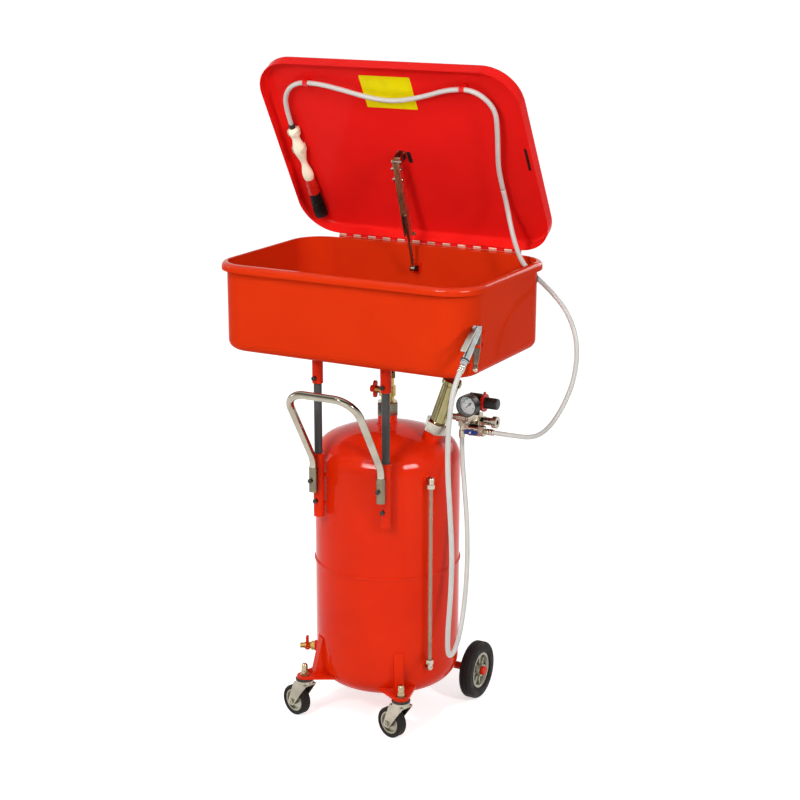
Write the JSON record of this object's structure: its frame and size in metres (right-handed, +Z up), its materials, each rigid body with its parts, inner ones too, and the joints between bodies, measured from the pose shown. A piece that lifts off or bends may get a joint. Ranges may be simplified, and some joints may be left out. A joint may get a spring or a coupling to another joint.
{
  "type": "drum parts washer",
  "caption": "Air-operated parts washer: upright pressure tank on wheels, open sink on posts above it, hinged lid, flow-through brush, blow gun, regulator and sight gauge.",
  "frame": {"origin": "on the floor, under the middle of the overall box without the hoses; the tank's axis is 54 mm behind it and 7 mm to its left", "axes": "+Z up, -Y towards the push handle and the casters, +X towards the air unit and the blow gun"},
  "size_m": [0.811, 0.5861, 1.6637],
  "materials": {
    "red_paint": "gloss enamel",
    "sink_paint": "gloss enamel",
    "grey_paint": "satin enamel",
    "zinc": "bright zinc",
    "nickel": "nickel plate",
    "dark_steel": "blackened",
    "chrome": "polished",
    "brass": "machined",
    "tyre": "matt",
    "black_plastic": "matt",
    "red_plastic": "gloss",
    "blue_plastic": "gloss",
    "cream": "satin",
    "dial": "matt",
    "clear": "clear",
    "sight": "tinted clear",
    "hose": "milky PVC"
  },
  "bodies": {
    "washer": {"tank_shell": "red_paint", "caster_brackets": "red_paint", "caster_stems": "zinc", "rear_axle": "red_paint", "post_sockets": "red_paint", "support_posts": "grey_paint", "handle_sleeves": "zinc", "push_handle": "chrome", "lock_screws": "dark_steel", "sink_basin": "sink_paint", "drain_strainer": "dark_steel", "drain_valve_body": "brass", "union_nuts": "chrome", "filler_neck": "chrome", "filler_cap": "chrome", "dip_tube": "zinc", "air_manifold": "nickel", "regulator_body": "black_plastic", "regulator_ring": "red_plastic", "gauge_case": "black_plastic", "gauge_dial": "dial", "gauge_lens": "clear", "brush_valve_body": "nickel", "sight_elbows": "nickel", "sight_tube": "sight", "drain_cock_body": "brass", "hinge_leaf_sink": "zinc", "hinge_pin": "zinc", "stay_sink_bracket": "dark_steel", "gun_body": "chrome", "gun_hook": "red_paint", "gun_hose": "hose", "brush_hose_outside": "hose"},
    "lid": {"lid_panel": "red_paint", "hinge_leaf_lid": "red_paint", "stay_lid_bracket": "dark_steel", "lid_clips": "red_paint", "brush_handle": "cream", "brush_ferrule": "red_plastic", "brush_bristles": "black_plastic", "brush_hose_lid": "hose", "brush_hose_flex": "hose"},
    "stay channel": {"stay_channel": "dark_steel"},
    "stay rod": {"stay_rod": "zinc"},
    "sink drain handle": {"drain_valve_handle": "red_paint"},
    "regulator knob": {"regulator_knob": "black_plastic"},
    "gauge needle": {"gauge_needle": "black_plastic"},
    "brush valve lever": {"brush_valve_lever": "blue_plastic"},
    "drain cock lever": {"drain_cock_lever": "red_paint"},
    "gun trigger": {"gun_trigger": "dark_steel"},
    "left caster fork": {"caster_fork_left": "zinc"},
    "right caster fork": {"caster_fork_right": "zinc"},
    "left caster wheel": {"caster_rim_left": "zinc", "caster_tyre_left": "tyre"},
    "right caster wheel": {"caster_rim_right": "zinc", "caster_tyre_right": "tyre"},
    "left rear wheel": {"rear_rim_left": "zinc", "rear_tyre_left": "tyre"},
    "right rear wheel": {"rear_rim_right": "zinc", "rear_tyre_right": "tyre"}
  },
  "joints": [
    {"name": "lid_hinge", "type": "hinge", "parent": "washer", "child": "lid", "pos_m": [-0.007, 0.26899, 1.192], "axis": [1, 0, 0], "range_deg": [0, 60], "deforming": ["brush_hose_flex"]},
    {"name": "stay_channel_pivot", "type": "hinge", "parent": "lid", "child": "stay channel", "pos_m": [-0.029, 0.14076, 1.4101], "axis": [1, 0, 0], "range_deg": [-4, 1]},
    {"name": "stay_rod_pivot", "type": "hinge", "parent": "washer", "child": "stay rod", "pos_m": [-0.029, 0.23099, 1.128], "axis": [1, 0, 0], "range_deg": [0, 57]},
    {"name": "sink_drain_turn", "type": "hinge", "parent": "washer", "child": "sink drain handle", "pos_m": [-0.047, 0.05399, 0.85], "axis": [1, 0, 0], "range_deg": [0, 90]},
    {"name": "regulator_turn", "type": "hinge", "parent": "washer", "child": "regulator knob", "pos_m": [0.283, 0.05399, 0.854], "axis": [1, 0, 0], "range_deg": [-720, 720]},
    {"name": "needle_turn", "type": "hinge", "parent": "washer", "child": "gauge needle", "pos_m": [0.239, 0.01974, 0.854], "axis": [0, 1, 0], "range_deg": [0, 270], "stiffness_Nm_per_rad": 0.0005, "springref_deg": -5.73},
    {"name": "brush_valve_turn", "type": "hinge", "parent": "washer", "child": "brush valve lever", "pos_m": [0.255, -0.00126, 0.792], "axis": [0, 1, 0], "range_deg": [0, 90]},
    {"name": "drain_cock_turn", "type": "hinge", "parent": "washer", "child": "drain cock lever", "pos_m": [-0.18685, -0.05339, 0.157], "axis": [0.454, -0.891, 0], "range_deg": [0, 90]},
    {"name": "trigger_pull", "type": "hinge", "parent": "washer", "child": "gun trigger", "pos_m": [0.348, -0.18004, 1.09565], "axis": [1, 0, 0], "range_deg": [0, 7], "stiffness_Nm_per_rad": 0.3, "springref_deg": -17.19},
    {"name": "left_swivel", "type": "hinge", "parent": "washer", "child": "left caster fork", "pos_m": [-0.148, -0.13201, 0.103], "axis": [0, 0, 1], "continuous": true},
    {"name": "right_swivel", "type": "hinge", "parent": "washer", "child": "right caster fork", "pos_m": [0.134, -0.13201, 0.103], "axis": [0, 0, 1], "continuous": true},
    {"name": "left_caster_spin", "type": "hinge", "parent": "left caster fork", "child": "left caster wheel", "pos_m": [-0.1786, -0.12265, 0.04], "axis": [0.2924, 0.9563, 0], "continuous": true},
    {"name": "right_caster_spin", "type": "hinge", "parent": "right caster fork", "child": "right caster wheel", "pos_m": [0.1034, -0.12265, 0.04], "axis": [0.2924, 0.9563, 0], "continuous": true},
    {"name": "left_rear_spin", "type": "hinge", "parent": "washer", "child": "left rear wheel", "pos_m": [-0.196, 0.19999, 0.076], "axis": [1, 0, 0], "continuous": true},
    {"name": "right_rear_spin", "type": "hinge", "parent": "washer", "child": "right rear wheel", "pos_m": [0.182, 0.19999, 0.076], "axis": [1, 0, 0], "continuous": true}
  ],
  "couplings": [
    {"joint": "stay_channel_pivot", "follows": "lid_hinge", "ratio": -0.0638},
    {"joint": "stay_rod_pivot", "follows": "lid_hinge", "ratio": 0.9362}
  ]
}
